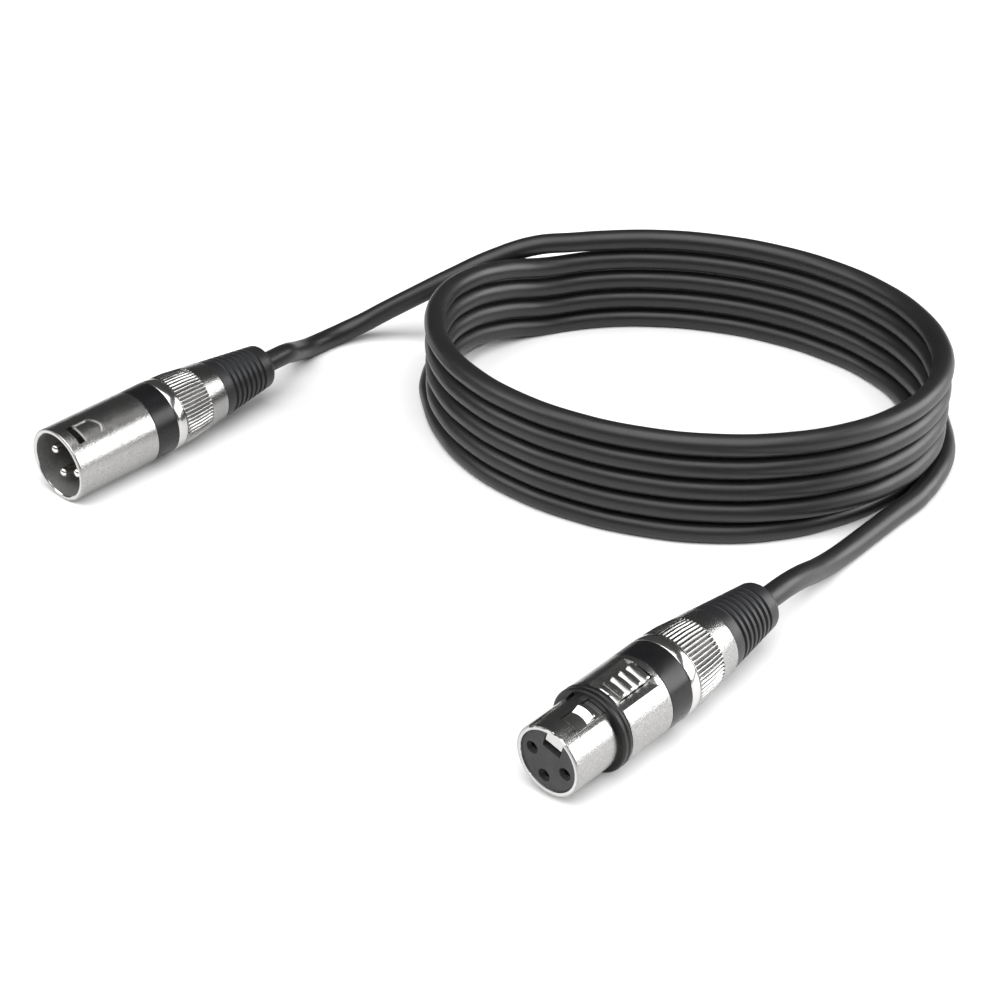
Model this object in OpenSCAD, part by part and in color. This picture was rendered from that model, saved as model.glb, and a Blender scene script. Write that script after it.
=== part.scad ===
// Microphone lead with a three-contact plug at each end, wound into a coil.
// Millimetres, +Z up. Both plugs lie along X with their noses towards -X.

/* [Shells] */
// Outer diameter of the male shell and of the female housing
shell_d = 19; // [18.6:0.1:20]
// Wall of both shells behind the contact carriers, where the nut screws in
rear_wall = 1; // [0.9:0.05:1.2]
// Bevel on the outer edges of both shells
rim_bevel = 0.4; // [0.2:0.05:0.6]
// Length of the male shell
male_shell_l = 24; // [23:0.5:27]
// Wall of the male mouth
mouth_wall = 1.25; // [1.15:0.05:1.35]
// Depth of the male mouth
mouth_depth = 13.8; // [13:0.1:14.5]
// Radial gap between the female barrel and the mouth that takes it
mate_gap = 0.15; // [0.13:0.01:0.25]
// Wall of the female barrel
barrel_wall = 1.1; // [0.95:0.05:1.2]
// Length of the female barrel ahead of its rubber ring
barrel_l = 12.5; // [12:0.25:14]
// Length of the female housing behind its rubber ring
housing_l = 13; // [13:0.5:17]
// Depth of the step between the barrel bore and the rear bore, behind the ring
web_l = 1.5; // [1:0.1:2]

/* [Mouth and barrel details] */
// Width of the catch slot in the male shell
catch_w = 5.5; // [4.5:0.1:6]
// Length of the catch slot along the plug
catch_l = 2.5; // [2.4:0.1:3]
// Distance from the male rim to the catch slot
catch_z = 2.9; // [2.4:0.1:3]
// Length of the D shaped recess behind the catch slot
dee_l = 5.7; // [5:0.1:6.5]
// Depth of the D shaped recess
dee_depth = 0.4; // [0.2:0.05:0.6]
// Width of the key rib inside the male mouth
key_w = 1.6; // [1:0.1:2]
// Height of the key rib inside the male mouth
key_h = 0.6; // [0.4:0.05:0.8]
// Angle from the latch side to the key rib and to its groove
key_angle = 47; // [40:1:60]

/* [Contacts] */
// Distance from the barrel's bore in to the circle that the contacts stand on
contact_inset = 2.6; // [2.5:0.05:2.7]
// Diameter of a male contact pin
pin_d = 2.4; // [2.2:0.05:2.6]
// Distance from the male rim to the pin tips
pin_z = 2; // [1.5:0.1:4]
// Bore of a female contact
socket_bore = 2.46; // [2.42:0.01:2.6]
// Outer diameter of a female contact
socket_d = 3.4; // [3.2:0.05:3.6]
// Depth of the bore of a female contact
socket_depth = 12.4; // [11.5:0.1:14]
// Thickness of the wall ahead of the female contacts
face_wall = 1.2; // [0.8:0.1:1.6]
// Diameter of the entry holes in that wall
entry_d = 2.9; // [2.7:0.05:3.1]
// Diameter of a solder cup
cup_d = 3; // [2.7:0.1:3.2]
// Length of a solder cup
cup_l = 3.5; // [3:0.1:4]
// Diameter of an insulated wire
wire_d = 1.4; // [1.2:0.05:1.5]

/* [Rings] */
// Width of the rubber ring on the female barrel
ring_w = 2.7; // [2.6:0.1:3.4]
// Height of the rubber ring above the housing
ring_proud = 0.1; // [0:0.05:0.5]
// Length of the coding ring
coding_l = 6.4; // [6:0.1:8]
// Step from the shell down to the coding ring
coding_step = 0.05; // [0.05:0.05:0.3]

/* [Nut] */
// Length of the nut's threaded spigot inside the shell
spigot_l = 3; // [2.6:0.1:3]
// Length of the polished flange
flange_l = 2.8; // [2.5:0.1:3.5]
// Length of the finned grip
grip_l = 9.6; // [8.5:0.1:10.5]
// Step from the flange down to the grip
grip_step = 0.1; // [0.05:0.05:0.3]
// Fall of the grip's surface from its front end to its rear end
grip_fall = 0.85; // [0.7:0.05:1]
// Number of flutes in the grip
flutes = 56; // [40:1:60]
// Width of a flute
flute_w = 0.5; // [0.35:0.05:0.55]
// Depth of a flute
flute_depth = 0.35; // [0.2:0.05:0.45]
// Plain rim left at each end of the flutes
flute_end = 0.3; // [0.2:0.1:0.8]
// Length of the smooth taper behind the grip
taper_l = 5.2; // [4.6:0.1:6]
// Fall of the taper's surface from the grip to the nut's rear end
taper_fall = 0.45; // [0.15:0.05:0.5]
// Wall of the spigot
spigot_wall = 1.4; // [1.3:0.05:1.5]

/* [Boot and clamp] */
// Length of the boot behind the nut
boot_l = 18.6; // [17.6:0.1:21]
// Step from the nut down to the boot
boot_step = 0.15; // [0.05:0.05:0.3]
// Fall of the boot's surface from the nut to where its end begins to round
boot_fall = 2.05; // [1.8:0.05:2.25]
// Number of ring grooves in the boot
boot_grooves = 7; // [4:1:7]
// Spacing of the ring grooves
groove_pitch = 1.8; // [1.5:0.05:1.85]
// Wall of the chamber that holds the boot's flange
chamber_wall = 1.1; // [1:0.05:1.3]
// Height of the nut's rear lip, which keeps the flange in
lip_h = 0.8; // [0.6:0.05:1]
// Length of the nut's rear lip
lip_l = 1.7; // [1.4:0.1:2]
// Number of slits that part the clamp's jaws
jaw_slits = 4; // [3:1:6]
// Width of a slit between jaws
jaw_slit_w = 1; // [0.6:0.1:1.4]

/* [Latch] */
// Width of the latch arm
arm_w = 4.2; // [3.8:0.1:4.4]
// Width of the push tab
tab_w = 5; // [4.6:0.1:5.2]
// Height of the hook above the barrel
hook_h = 0.9; // [0.7:0.05:1.1]
// Length of the hook
hook_l = 2.2; // [1.8:0.1:2.3]
// Distance from the nose to the rear face of the hook
hook_z = 9.5; // [9.4:0.1:9.9]
// Number of grip ribs on the push tab
tab_ribs = 4; // [3:1:5]
// Length of a grip rib along the plug
tab_rib_l = 1.2; // [0.8:0.1:1.4]
// Diameter of the pivot pin
pivot_d = 1.4; // [1.2:0.05:1.5]
// Coil diameter of the return spring, outside
spring_d = 2.6; // [2.2:0.1:2.8]
// Wire diameter of the return spring
spring_wire = 0.45; // [0.35:0.05:0.5]

/* [Fits] */
// Radial gap between turning or sliding pieces
run_fit = 0.1; // [0.06:0.01:0.15]
// Radial gap round pieces that are pushed home
seat_fit = 0.05; // [0.03:0.01:0.1]
// Gap beside the latch in its slots
latch_gap = 0.2; // [0.15:0.01:0.3]
// Gap between the boot's bore and the cord
boot_gap = 0.3; // [0.25:0.01:0.4]

/* [Cord] */
// Diameter of the cord
cord_d = 5.5; // [5:0.1:5.8]
// Gap between neighbouring turns of the coil
turn_gap = 0.5; // [0.48:0.01:0.7]
// Long diameter of the coil, on the cord's centre line
coil_long = 129; // [120:1:136]
// Short diameter of the coil, on the cord's centre line
coil_wide = 105; // [98:1:112]
// Height of the coil in turns
coil_levels = 5; // [4:1:6]

/* [Placing] */
// Distance between the two plug axes
plug_span = 160; // [150:1:180]
// Nose of the male plug, measured back from the middle
male_nose = 31.5; // [25:0.5:35]
// Nose of the female plug, measured back from the middle
female_nose = 35.5; // [30:0.5:40]
// Roll of the male plug's latch side towards -Y
male_roll = 24; // [0:1:30]
// Roll of the female plug's latch side towards -Y
female_roll = 14; // [0:1:30]

/* [Hidden] */
$fn = 72;

// Diameters that follow from the shell's
rear_bore = shell_d - 2 * rear_wall;
mouth_bore = shell_d - 2 * mouth_wall;
barrel_d = mouth_bore - 2 * mate_gap;
barrel_bore = barrel_d - 2 * barrel_wall;
ring_d = shell_d + 2 * ring_proud;
coding_d = shell_d - 2 * coding_step;
flange_d = shell_d;
grip_front_d = flange_d - 2 * grip_step;
grip_rear_d = grip_front_d - 2 * grip_fall;
nut_rear_d = grip_rear_d - 2 * taper_fall;
boot_front_d = nut_rear_d - 2 * boot_step;
boot_rear_d = boot_front_d - 2 * boot_fall;
chamber_d = nut_rear_d - 2 * chamber_wall;
lip_bore = chamber_d - 2 * lip_h;

// Axial stations of the female plug, from its nose
ring_end = barrel_l + ring_w;
web_end = ring_end + web_l;
female_l = ring_end + housing_l;

// Stations of the tail, from the shell's rear face
flange_z = coding_l;
grip_z = flange_z + flange_l;
taper_z = grip_z + grip_l;
nut_end = taper_z + taper_l;
lip_z = nut_end - lip_l;
chamber_l = 4.4;
chamber_z = lip_z - chamber_l;
web_z = chamber_z - 0.8;
cord_r = cord_d / 2;
jaw_bore_r = cord_r + 1.75;
cone_l = 4.5;
cone_z = web_z - cone_l;
boot_z = nut_end + run_fit;
boot_end = boot_z + boot_l;
jaw_gap = 0.5;
jacket_z = 9;

// Radii that pieces share
contact_r = barrel_bore / 2 - contact_inset;
spigot_r = rear_bore / 2 - run_fit;
nut_bore = 2 * (spigot_r - spigot_wall);
carrier_r = rear_bore / 2 - run_fit;
boss_r = nut_bore / 2 - 0.4;
chuck_r = nut_bore / 2 - 0.2;
cone_slope = cone_l / (nut_bore / 2 - jaw_bore_r);
chuck_bore_r = cord_r + 0.1;
wire_r = wire_d / 2;
cup_bore_r = wire_r + 0.15;
cup_floor = 1;
pin_root_r = pin_d / 2 + 0.3;
ring_seat_r = barrel_d / 2 - 0.08;

// Latch lever: x is the distance from the plug axis, z the distance from the nose
pivot_x = shell_d / 2 - 3.1;
pivot_z = web_end + 7.1;
tab_z = web_end + 0.3;
tab_end = pivot_z + 2.5;
tab_floor_x = shell_d / 2 - 0.5;
window_z = 4.2;
slot_floor_x = barrel_bore / 2 - 4.2;
arm_under_x = pivot_x;
tongue_x = arm_under_x - 1.9;
ear_x = rear_bore / 2 - 1.2;
ear_w = tab_w + 2 * latch_gap + 2.4;
hub_r = pivot_d / 2 + 0.6;
spring_z = web_end + 4.5;
spring_floor_x = slot_floor_x - 0.6;
spring_turns = 5;
spring_rings = 10;

// Heights: each plug lies on its largest ring, the cord on a flat a tenth of its diameter deep
male_z = shell_d / 2;
female_z = ring_d / 2;
cord_flat = cord_d / 10;
cord_z = cord_r - cord_flat;
turn_step = cord_d + turn_gap;

// Coil: centre, heading of its long axis, and the angles between which the cord is wound
coil_x = 98;
coil_y = -10;
coil_turn = -69;
coil_first = -10;
coil_last = 360 * coil_levels + 125;
ring_step = 15;
climb_from = 140;
climb_to = 190;
fall_lag = 15;

// Route of the male run: along its line of departure, then back from the boot's end
lift = turn_step * (coil_levels - 1);
male_leave = [[18, cord_z + lift - 0.2], [30, cord_z + lift - 3.5]];
male_arrive = [
    [58.5, -14.5, cord_z + 0.67 * lift], [51, -7, cord_z + 0.44 * lift], [44.5, 0, cord_z + 0.22 * lift],
    [40.5, 3.3, cord_z + 0.11 * lift], [36.5, 5.6, cord_z + 0.045 * lift],
    [32, 7, cord_z + 0.2], [27, 7.4, cord_z + 0.1], [22, 6.7, cord_z + 0.9], [17.5, 5, male_z - 4.7],
    [13, 2.5, male_z - 2.4], [9, 0.6, male_z - 0.5], [5.5, 0, male_z]
];
// Route of the female run: offsets from the boot's end, and heights
female_arrive = [
    [60, 3.3, cord_z], [48, 3.2, cord_z], [36, 2.9, cord_z + 0.4], [26, 2, female_z - 5],
    [17, 0.9, female_z - 2], [9, 0.1, female_z - 0.2], [5, 0, female_z]
];

contact_angles = [90, -90, 180];

// Vectors
function unit(v) = v / norm(v);
function ease(f) = f * f * (3 - 2 * f);
function clamp(f) = min(1, max(0, f));

// Ring of points round a centre, square to a heading, never below the floor
function ring_points(c, heading, r, sides, above) =
    let (side = unit(cross(above, heading)), up = cross(heading, side))
    [for (i = [0:sides - 1])
        let (a = 360 * i / sides, p = c + r * (cos(a) * side + sin(a) * up))
        [p.x, p.y, max(0, p.z)]];

// Heading of a route at one of its points
function heading_at(route, i) =
    let (last = len(route) - 1)
    i == 0 ? unit(route[1] - route[0]) :
    i == last ? unit(route[last] - route[last - 1]) :
    unit(unit(route[i + 1] - route[i]) + unit(route[i] - route[i - 1]));

// Triangles of a closed tube of rings
function tube_faces(rings, sides) = concat(
    [for (j = [0:rings - 2], i = [0:sides - 1])
        [j * sides + i, (j + 1) * sides + i, j * sides + (i + 1) % sides]],
    [for (j = [0:rings - 2], i = [0:sides - 1])
        [j * sides + (i + 1) % sides, (j + 1) * sides + i, (j + 1) * sides + (i + 1) % sides]],
    [for (i = [1:sides - 2]) [0, i, i + 1]],
    [for (i = [1:sides - 2]) [(rings - 1) * sides, (rings - 1) * sides + i + 1, (rings - 1) * sides + i]]
);

// Tube swept along a route, which never heads straight along the direction called above
module tube(route, r, sides, above = [0, 0, 1]) {
    last = len(route) - 1;
    points = [for (i = [0:last]) each ring_points(route[i], heading_at(route, i), r, sides, above)];
    polyhedron(points = points, faces = tube_faces(last + 1, sides), convexity = 10);
}

// Coil: the first pass lies on the floor outside the second, then each pass climbs one step
function pass(a) = max(0, floor(a / 360));
function turned(a) = a - 360 * pass(a);
function climb(t) = 90 * clamp((t - climb_from) / (climb_to - climb_from));
function level(a) = pass(a) == 0 ? 0 : pass(a) - 1 + sin(climb(turned(a)));
function side_step(a) =
    a < climb_to + fall_lag ?
        turn_step * (0.5 + 0.5 * ease(clamp((a - 15) / 30))) * cos(climb(a - fall_lag)) :
    a < 375 ? -turn_step / 2 * ease(clamp((a - 290) / 45)) :
    -turn_step / 2 * (1 - ease(clamp((a - 375) / 30)));
function coil_at(a) =
    let (x = (coil_long / 2 + side_step(a)) * cos(a), y = (coil_wide / 2 + side_step(a)) * sin(a))
    [coil_x + x * cos(coil_turn) - y * sin(coil_turn),
     coil_y + x * sin(coil_turn) + y * cos(coil_turn),
     cord_z + turn_step * level(a)];
function coil_heading(a) = unit(coil_at(a + 0.5) - coil_at(a - 0.5));
coil_start = coil_at(coil_first) - cord_d * coil_heading(coil_first);
coil_end = coil_at(coil_last) + cord_d * coil_heading(coil_last);
coil_route = concat([coil_start], [for (a = [coil_first:ring_step:coil_last]) coil_at(a)], [coil_end]);

// Least gap between turns, from four points along each straight step of the tube
steps = len(coil_route) - 2;
measured = [for (i = [0:steps], f = [0:0.25:0.75]) coil_route[i] + f * (coil_route[i + 1] - coil_route[i])];
apart = 180 / ring_step * 4;
gaps = [for (i = [0:len(measured) - 1 - apart], j = [i + apart:len(measured) - 1])
    norm(measured[i] - measured[j]) - cord_d];

// Plug frame: z runs from the nose to the cord, x points to the latch side
module male() {
    translate([-male_nose, plug_span / 2, male_z]) rotate([male_roll, 0, 0]) rotate([0, 90, 0])
        rotate([0, 0, 180]) children();
}
module female() {
    translate([-female_nose, -plug_span / 2, female_z]) rotate([female_roll, 0, 0]) rotate([0, 90, 0])
        rotate([0, 0, 180]) children();
}
module male_tail() {
    male() translate([0, 0, male_shell_l]) children();
}
module female_tail() {
    female() translate([0, 0, female_l]) children();
}

// Plate seen from the side, points given as [x, z], centred on the latch
module side_plate(width, points) {
    translate([0, width / 2, 0]) rotate([90, 0, 0]) linear_extrude(width) polygon(points);
}
// Block between two x and two z stations
module block(width, x0, x1, z0, z1) {
    translate([x0, -width / 2, z0]) cube([x1 - x0, width, z1 - z0]);
}
module revolve(points) {
    rotate_extrude() polygon(points);
}
module at_contact(n) {
    rotate([0, 0, contact_angles[n - 1]]) translate([contact_r, 0, 0]) children();
}

// Tail pieces, the same on both plugs
module coding_ring() {
    color("#18191b") revolve([
        [spigot_r + run_fit, 0], [coding_d / 2 - 0.2, 0], [coding_d / 2, 0.2],
        [coding_d / 2, coding_l - 0.2], [coding_d / 2 - 0.2, coding_l], [spigot_r + run_fit, coding_l]
    ]);
}

module nut_body() {
    revolve([
        [nut_bore / 2, -spigot_l], [spigot_r - 0.3, -spigot_l], [spigot_r, 0.3 - spigot_l],
        [spigot_r, flange_z], [flange_d / 2 - 0.25, flange_z], [flange_d / 2, flange_z + 0.25],
        [flange_d / 2, grip_z - 0.25],
        [flange_d / 2 - 0.15, grip_z], [grip_front_d / 2, grip_z],
        [(grip_front_d + grip_rear_d) / 4 + 0.2, grip_z + grip_l / 2],
        [grip_rear_d / 2, taper_z], [nut_rear_d / 2, nut_end - 0.2], [nut_rear_d / 2 - 0.2, nut_end],
        [lip_bore / 2, nut_end], [lip_bore / 2, lip_z], [chamber_d / 2, lip_z], [chamber_d / 2, chamber_z],
        [jaw_bore_r, chamber_z], [jaw_bore_r, web_z], [nut_bore / 2, cone_z]
    ]);
}

module nut() {
    half = grip_l / 2;
    mid_r = (grip_front_d + grip_rear_d) / 4 + 0.2;
    front_r = grip_front_d / 2 + (mid_r - grip_front_d / 2) * flute_end / half;
    rear_r = grip_rear_d / 2 + (mid_r - grip_rear_d / 2) * flute_end / half;
    color("#b4b4b0") difference() {
        nut_body();
        for (i = [0:flutes - 1]) rotate([90, 0, 360 * i / flutes])
            linear_extrude(flute_w, center = true) polygon([
                [front_r - flute_depth, grip_z + flute_end], [mid_r - flute_depth, grip_z + half],
                [rear_r - flute_depth, taper_z - flute_end], [flange_d, taper_z - flute_end],
                [flange_d, grip_z + flute_end]
            ]);
    }
}

module boot() {
    first_groove = 3.4;
    round_z = boot_end - 1.6;
    slope = (boot_front_d - boot_rear_d) / 2 / (round_z - boot_z);
    color("#1b1c1e") rotate_extrude() difference() {
        polygon([
            [cord_r + boot_gap, chamber_z + run_fit], [chamber_d / 2 - run_fit, chamber_z + run_fit],
            [chamber_d / 2 - run_fit, lip_z - run_fit], [lip_bore / 2 - run_fit, lip_z - run_fit],
            [lip_bore / 2 - run_fit, boot_z], [boot_front_d / 2 - 0.3, boot_z],
            [boot_front_d / 2, boot_z + 0.3], [boot_rear_d / 2, round_z],
            [boot_rear_d / 2 - 0.25, boot_end - 0.8], [boot_rear_d / 2 - 0.7, boot_end - 0.2],
            [boot_rear_d / 2 - 1.3, boot_end], [cord_r + boot_gap, boot_end]
        ]);
        for (i = [0:boot_grooves - 1])
            let (from_front = first_groove + i * groove_pitch)
                translate([boot_front_d / 2 - slope * from_front + 0.1, boot_z + from_front])
                    circle(r = 0.55, $fn = 18);
    }
}

module chuck() {
    color("#2a2b2e") difference() {
        revolve([
            [cup_d / 2 + contact_r + 0.2, 0], [chuck_r, 0], [chuck_r, cone_z - jaw_gap + 0.2 * cone_slope],
            [jaw_bore_r, web_z - jaw_gap], [chuck_bore_r, web_z - jaw_gap], [chuck_bore_r, jacket_z],
            [cup_d / 2 + contact_r + 0.2, cup_l + 1]
        ]);
        for (i = [0:jaw_slits - 1]) rotate([0, 0, 360 * (i + 0.5) / jaw_slits])
            translate([cord_r - 0.4, -jaw_slit_w / 2, jacket_z + 1]) cube([chuck_r, jaw_slit_w, web_z]);
    }
}

// Solder cup behind a contact, from the carrier's rear face
module cup() {
    difference() {
        union() {
            cylinder(d = cup_d, h = cup_l);
            translate([0, 0, -cup_floor / 2]) cylinder(r = wire_r, h = cup_floor);
        }
        translate([0, 0, cup_floor]) cylinder(r = cup_bore_r, h = cup_l);
    }
}

// Insulated wire from a solder cup to the end of the cord's jacket
module wire(n, tint) {
    color(tint) rotate([0, 0, contact_angles[n - 1]])
        tube([
            [contact_r, 0, cup_floor], [contact_r, 0, cup_l], [contact_r - 0.5, 0, cup_l + 1.2],
            [wire_d + 0.4, 0, jacket_z - 1.9], [wire_d * 0.86, 0, jacket_z - 0.9],
            [wire_d * 0.86, 0, jacket_z]
        ], wire_r, 6, [0, 1, 0]);
}

// Male plug
module male_shell() {
    color("#c4c4c0") male() difference() {
        union() {
            difference() {
                revolve([
                    [mouth_bore / 2 + 0.2, 0], [shell_d / 2 - rim_bevel, 0], [shell_d / 2, rim_bevel],
                    [shell_d / 2, male_shell_l - 0.2], [shell_d / 2 - 0.2, male_shell_l],
                    [rear_bore / 2, male_shell_l], [rear_bore / 2, mouth_depth],
                    [mouth_bore / 2, mouth_depth], [mouth_bore / 2, 0.2]
                ]);
                block(catch_w, mouth_bore / 2 - 1, shell_d, catch_z, catch_z + catch_l);
            }
            rotate([0, 0, key_angle])
                block(key_w, mouth_bore / 2 - key_h, mouth_bore / 2 + 0.3, 1, mouth_depth);
        }
        difference() {
            rotate([0, 90, 0]) linear_extrude(shell_d) union() {
                translate([-catch_z - dee_l - catch_l + catch_w / 2, 0]) circle(d = catch_w);
                translate([-catch_z - dee_l - catch_l + catch_w / 2, -catch_w / 2])
                    square([dee_l - catch_w / 2 + catch_l / 2, catch_w]);
            }
            cylinder(r = shell_d / 2 - dee_depth, h = male_shell_l);
        }
    }
}

module male_insert() {
    spigot_front = male_shell_l - spigot_l;
    color("#232427") male() difference() {
        union() {
            translate([0, 0, mouth_depth]) cylinder(r = carrier_r, h = spigot_front - 0.2 - mouth_depth);
            translate([0, 0, mouth_depth]) cylinder(r = boss_r, h = male_shell_l - mouth_depth);
        }
        for (n = [1:3]) at_contact(n) translate([0, 0, mouth_depth - 1])
            cylinder(r = pin_root_r + seat_fit, h = male_shell_l);
    }
}

module pin(n) {
    color("#d8d2bd") male() at_contact(n) {
        revolve([
            [0, pin_z], [pin_d * 0.22, pin_z], [pin_d * 0.4, pin_z + 0.25], [pin_d / 2, pin_z + 0.7],
            [pin_d / 2, mouth_depth], [pin_root_r, mouth_depth], [pin_root_r, male_shell_l],
            [0, male_shell_l]
        ]);
        translate([0, 0, male_shell_l]) cup();
    }
}
module male_pin_1() { pin(1); }
module male_pin_2() { pin(2); }
module male_pin_3() { pin(3); }
module male_coding_ring() { male_tail() coding_ring(); }
module male_chuck() { male_tail() chuck(); }
module male_nut() { male_tail() nut(); }
module male_boot() { male_tail() boot(); }
module male_wire_1() { male_tail() wire(1, "#b8b8b8"); }
module male_wire_2() { male_tail() wire(2, "#a82a20"); }
module male_wire_3() { male_tail() wire(3, "#e4e2da"); }

// Female plug
module female_shell() {
    outer_r = shell_d / 2;
    window_w = arm_w + 2 * latch_gap;
    tab_window_w = tab_w + 2 * latch_gap;
    color("#c4c4c0") female() difference() {
        revolve([
            [barrel_bore / 2, 0.3], [barrel_bore / 2 + 0.3, 0], [barrel_d / 2 - rim_bevel, 0],
            [barrel_d / 2, rim_bevel], [barrel_d / 2, barrel_l], [ring_seat_r, barrel_l],
            [ring_seat_r, ring_end],
            [outer_r - rim_bevel, ring_end], [outer_r, ring_end + rim_bevel],
            [outer_r, female_l - 0.2], [outer_r - 0.2, female_l], [rear_bore / 2, female_l],
            [rear_bore / 2, web_end], [barrel_bore / 2, web_end]
        ]);
        block(window_w, barrel_bore / 2 - 1, barrel_d / 2 + 0.2, window_z, web_end + 1);
        block(tab_window_w, barrel_bore / 2 - 1, shell_d, tab_z - 0.4, tab_end + 0.3);
        block(window_w, barrel_bore / 2 - 1, shell_d, web_end - 0.1, tab_end);
        for (s = [0, 1]) mirror([0, s, 0]) finger_flat(tab_window_w / 2);
        rotate([0, 0, -key_angle]) block(1.4, barrel_d / 2 - 0.5, barrel_d, -1, ring_end);
    }
}

// Flat beside the push tab, from the rubber ring to an upright rear wall
module finger_flat(inner_y) {
    translate([shell_d / 2 - 1.2, inner_y - 0.1, ring_end - 0.1])
        cube([shell_d, 3.1, tab_end + 0.3 - ring_end]);
}

module female_insert() {
    front_r = barrel_bore / 2 - run_fit;
    color("#26272a") female() difference() {
        union() {
            translate([0, 0, 0.4]) cylinder(r = front_r, h = female_l - 4);
            translate([0, 0, web_end]) cylinder(r = carrier_r, h = 3);
            translate([0, 0, web_end]) cylinder(r = boss_r, h = female_l - web_end);
            block(ear_w, slot_floor_x + 1.2, ear_x, pivot_z - 1.2, pivot_z + 1);
        }
        translate([0, 0, web_end + 3]) difference() {
            cylinder(r = front_r + 1, h = female_l);
            cylinder(r = boss_r, h = 2 * female_l);
            block(ear_w, slot_floor_x + 1.2, ear_x, pivot_z - web_end - 4.2, pivot_z - web_end - 2);
        }
        block(arm_w + 2 * latch_gap, slot_floor_x, shell_d, -1, web_end + 3.1);
        block(
            tab_w + 2 * latch_gap, pivot_x - hub_r - latch_gap, shell_d,
            web_end - 0.1, pivot_z + hub_r + 0.3
        );
        translate([spring_floor_x, 0, spring_z]) rotate([0, 90, 0])
            cylinder(d = spring_d + 0.4, h = shell_d);
        translate([pivot_x, 0, pivot_z]) rotate([90, 0, 0])
            cylinder(r = pivot_d / 2 + seat_fit / 2, h = 10, center = true);
        for (n = [1:3]) at_contact(n) {
            translate([0, 0, -1]) cylinder(d = entry_d, h = 4);
            translate([0, 0, 0.4 + face_wall]) cylinder(r = socket_d / 2 + seat_fit, h = female_l);
        }
    }
}

module socket(n) {
    front = 0.4 + face_wall;
    color("#cfae66") female() at_contact(n) {
        difference() {
            translate([0, 0, front]) cylinder(d = socket_d, h = female_l - front);
            translate([0, 0, front - 1]) cylinder(d = socket_bore, h = socket_depth + 1);
        }
        translate([0, 0, female_l]) cup();
    }
}
module female_socket_1() { socket(1); }
module female_socket_2() { socket(2); }
module female_socket_3() { socket(3); }

module female_latch() {
    top_r = barrel_d / 2;
    rib_step = (tab_end - tab_z - tab_rib_l - 0.6) / (tab_ribs - 1);
    color("#cfcfcb") female() difference() {
        union() {
            intersection() {
                side_plate(arm_w, [
                    [tongue_x, 0.6], [barrel_d, 0.6], [barrel_d, tab_z + 0.5],
                    [arm_under_x, tab_z + 0.5], [arm_under_x - 0.4, 6], [tongue_x, 3.5]
                ]);
                union() {
                    cylinder(r = barrel_bore / 2 - latch_gap, h = window_z + 0.3);
                    translate([0, 0, window_z + 0.3]) cylinder(r = ring_seat_r - 0.1, h = female_l);
                }
            }
            intersection() {
                side_plate(arm_w - 0.2, [
                    [top_r - 0.6, hook_z - hook_l], [top_r + hook_h, hook_z - 0.3], [top_r + hook_h, hook_z],
                    [top_r - 0.6, hook_z]
                ]);
                cylinder(r = top_r + hook_h, h = female_l);
            }
            side_plate(tab_w, [
                [arm_under_x, tab_z], [tab_floor_x, tab_z], [tab_floor_x, tab_end],
                [rear_bore / 2 + 0.1, tab_end], [rear_bore / 2 + 0.1, pivot_z + 1.3],
                [pivot_x + 0.6, pivot_z + hub_r], [arm_under_x, pivot_z]
            ]);
            translate([pivot_x, 0, pivot_z]) rotate([90, 0, 0]) cylinder(r = hub_r, h = tab_w, center = true);
            intersection() {
                cylinder(r = shell_d / 2 + 0.1, h = female_l);
                for (i = [0:tab_ribs - 1]) translate([0, 0, tab_z + 0.3 + i * rib_step])
                    block(tab_w, tab_floor_x - 0.3, shell_d, 0, tab_rib_l);
            }
        }
        translate([pivot_x, 0, pivot_z]) rotate([90, 0, 0])
            cylinder(r = pivot_d / 2 + seat_fit, h = 2 * tab_w, center = true);
    }
}

module female_latch_pin() {
    color("#9a9a98") female() translate([pivot_x, 0, pivot_z]) rotate([90, 0, 0])
        cylinder(d = pivot_d, h = ear_w, center = true);
}

// Return spring between the floor of its pocket and the underside of the latch
module female_latch_spring() {
    r = spring_d / 2 - spring_wire / 2;
    low = spring_floor_x + spring_wire / 2;
    high = arm_under_x - spring_wire / 2;
    steps = spring_turns * spring_rings;
    color("#a8a8a6") female() translate([0, 0, spring_z]) rotate([0, 90, 0])
        tube([for (i = [0:steps]) let (a = 360 * i / spring_rings)
            [r * cos(a), r * sin(a), low + (high - low) * i / steps]], spring_wire / 2, 6);
}

module female_ring() {
    fit_r = ring_seat_r + seat_fit;
    outer_r = ring_d / 2;
    color("#141516") female() revolve([
        [fit_r, barrel_l], [outer_r - 0.5, barrel_l], [outer_r, barrel_l + 0.4], [outer_r, barrel_l + 0.9],
        [outer_r - 0.45, barrel_l + ring_w / 2 - 0.2], [outer_r - 0.45, barrel_l + ring_w / 2 + 0.2],
        [outer_r, ring_end - 0.9], [outer_r, ring_end - 0.4], [outer_r - 0.5, ring_end], [fit_r, ring_end]
    ]);
}

module female_coding_ring() { female_tail() coding_ring(); }
module female_chuck() { female_tail() chuck(); }
module female_nut() { female_tail() nut(); }
module female_boot() { female_tail() boot(); }
module female_wire_1() { female_tail() wire(1, "#b8b8b8"); }
module female_wire_2() { female_tail() wire(2, "#a82a20"); }
module female_wire_3() { female_tail() wire(3, "#e4e2da"); }

// Cord
module cord_coil() {
    color("#1d1e20") tube(coil_route, cord_r, 6);
}

module cord_male_run() {
    from = coil_at(coil_last);
    away = coil_heading(coil_last);
    exit_x = male_shell_l + boot_end - male_nose;
    color("#1d1e20") tube(concat(
        [coil_end, coil_end + 2 * away],
        [for (p = male_leave) [from.x + p[0] * away.x, from.y + p[0] * away.y, p[1]]],
        [for (p = male_arrive) [exit_x + p[0], plug_span / 2 + p[1], p[2]]],
        [[exit_x, plug_span / 2, male_z], [male_shell_l + jacket_z - male_nose, plug_span / 2, male_z]]
    ), cord_r, 12);
}

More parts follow.
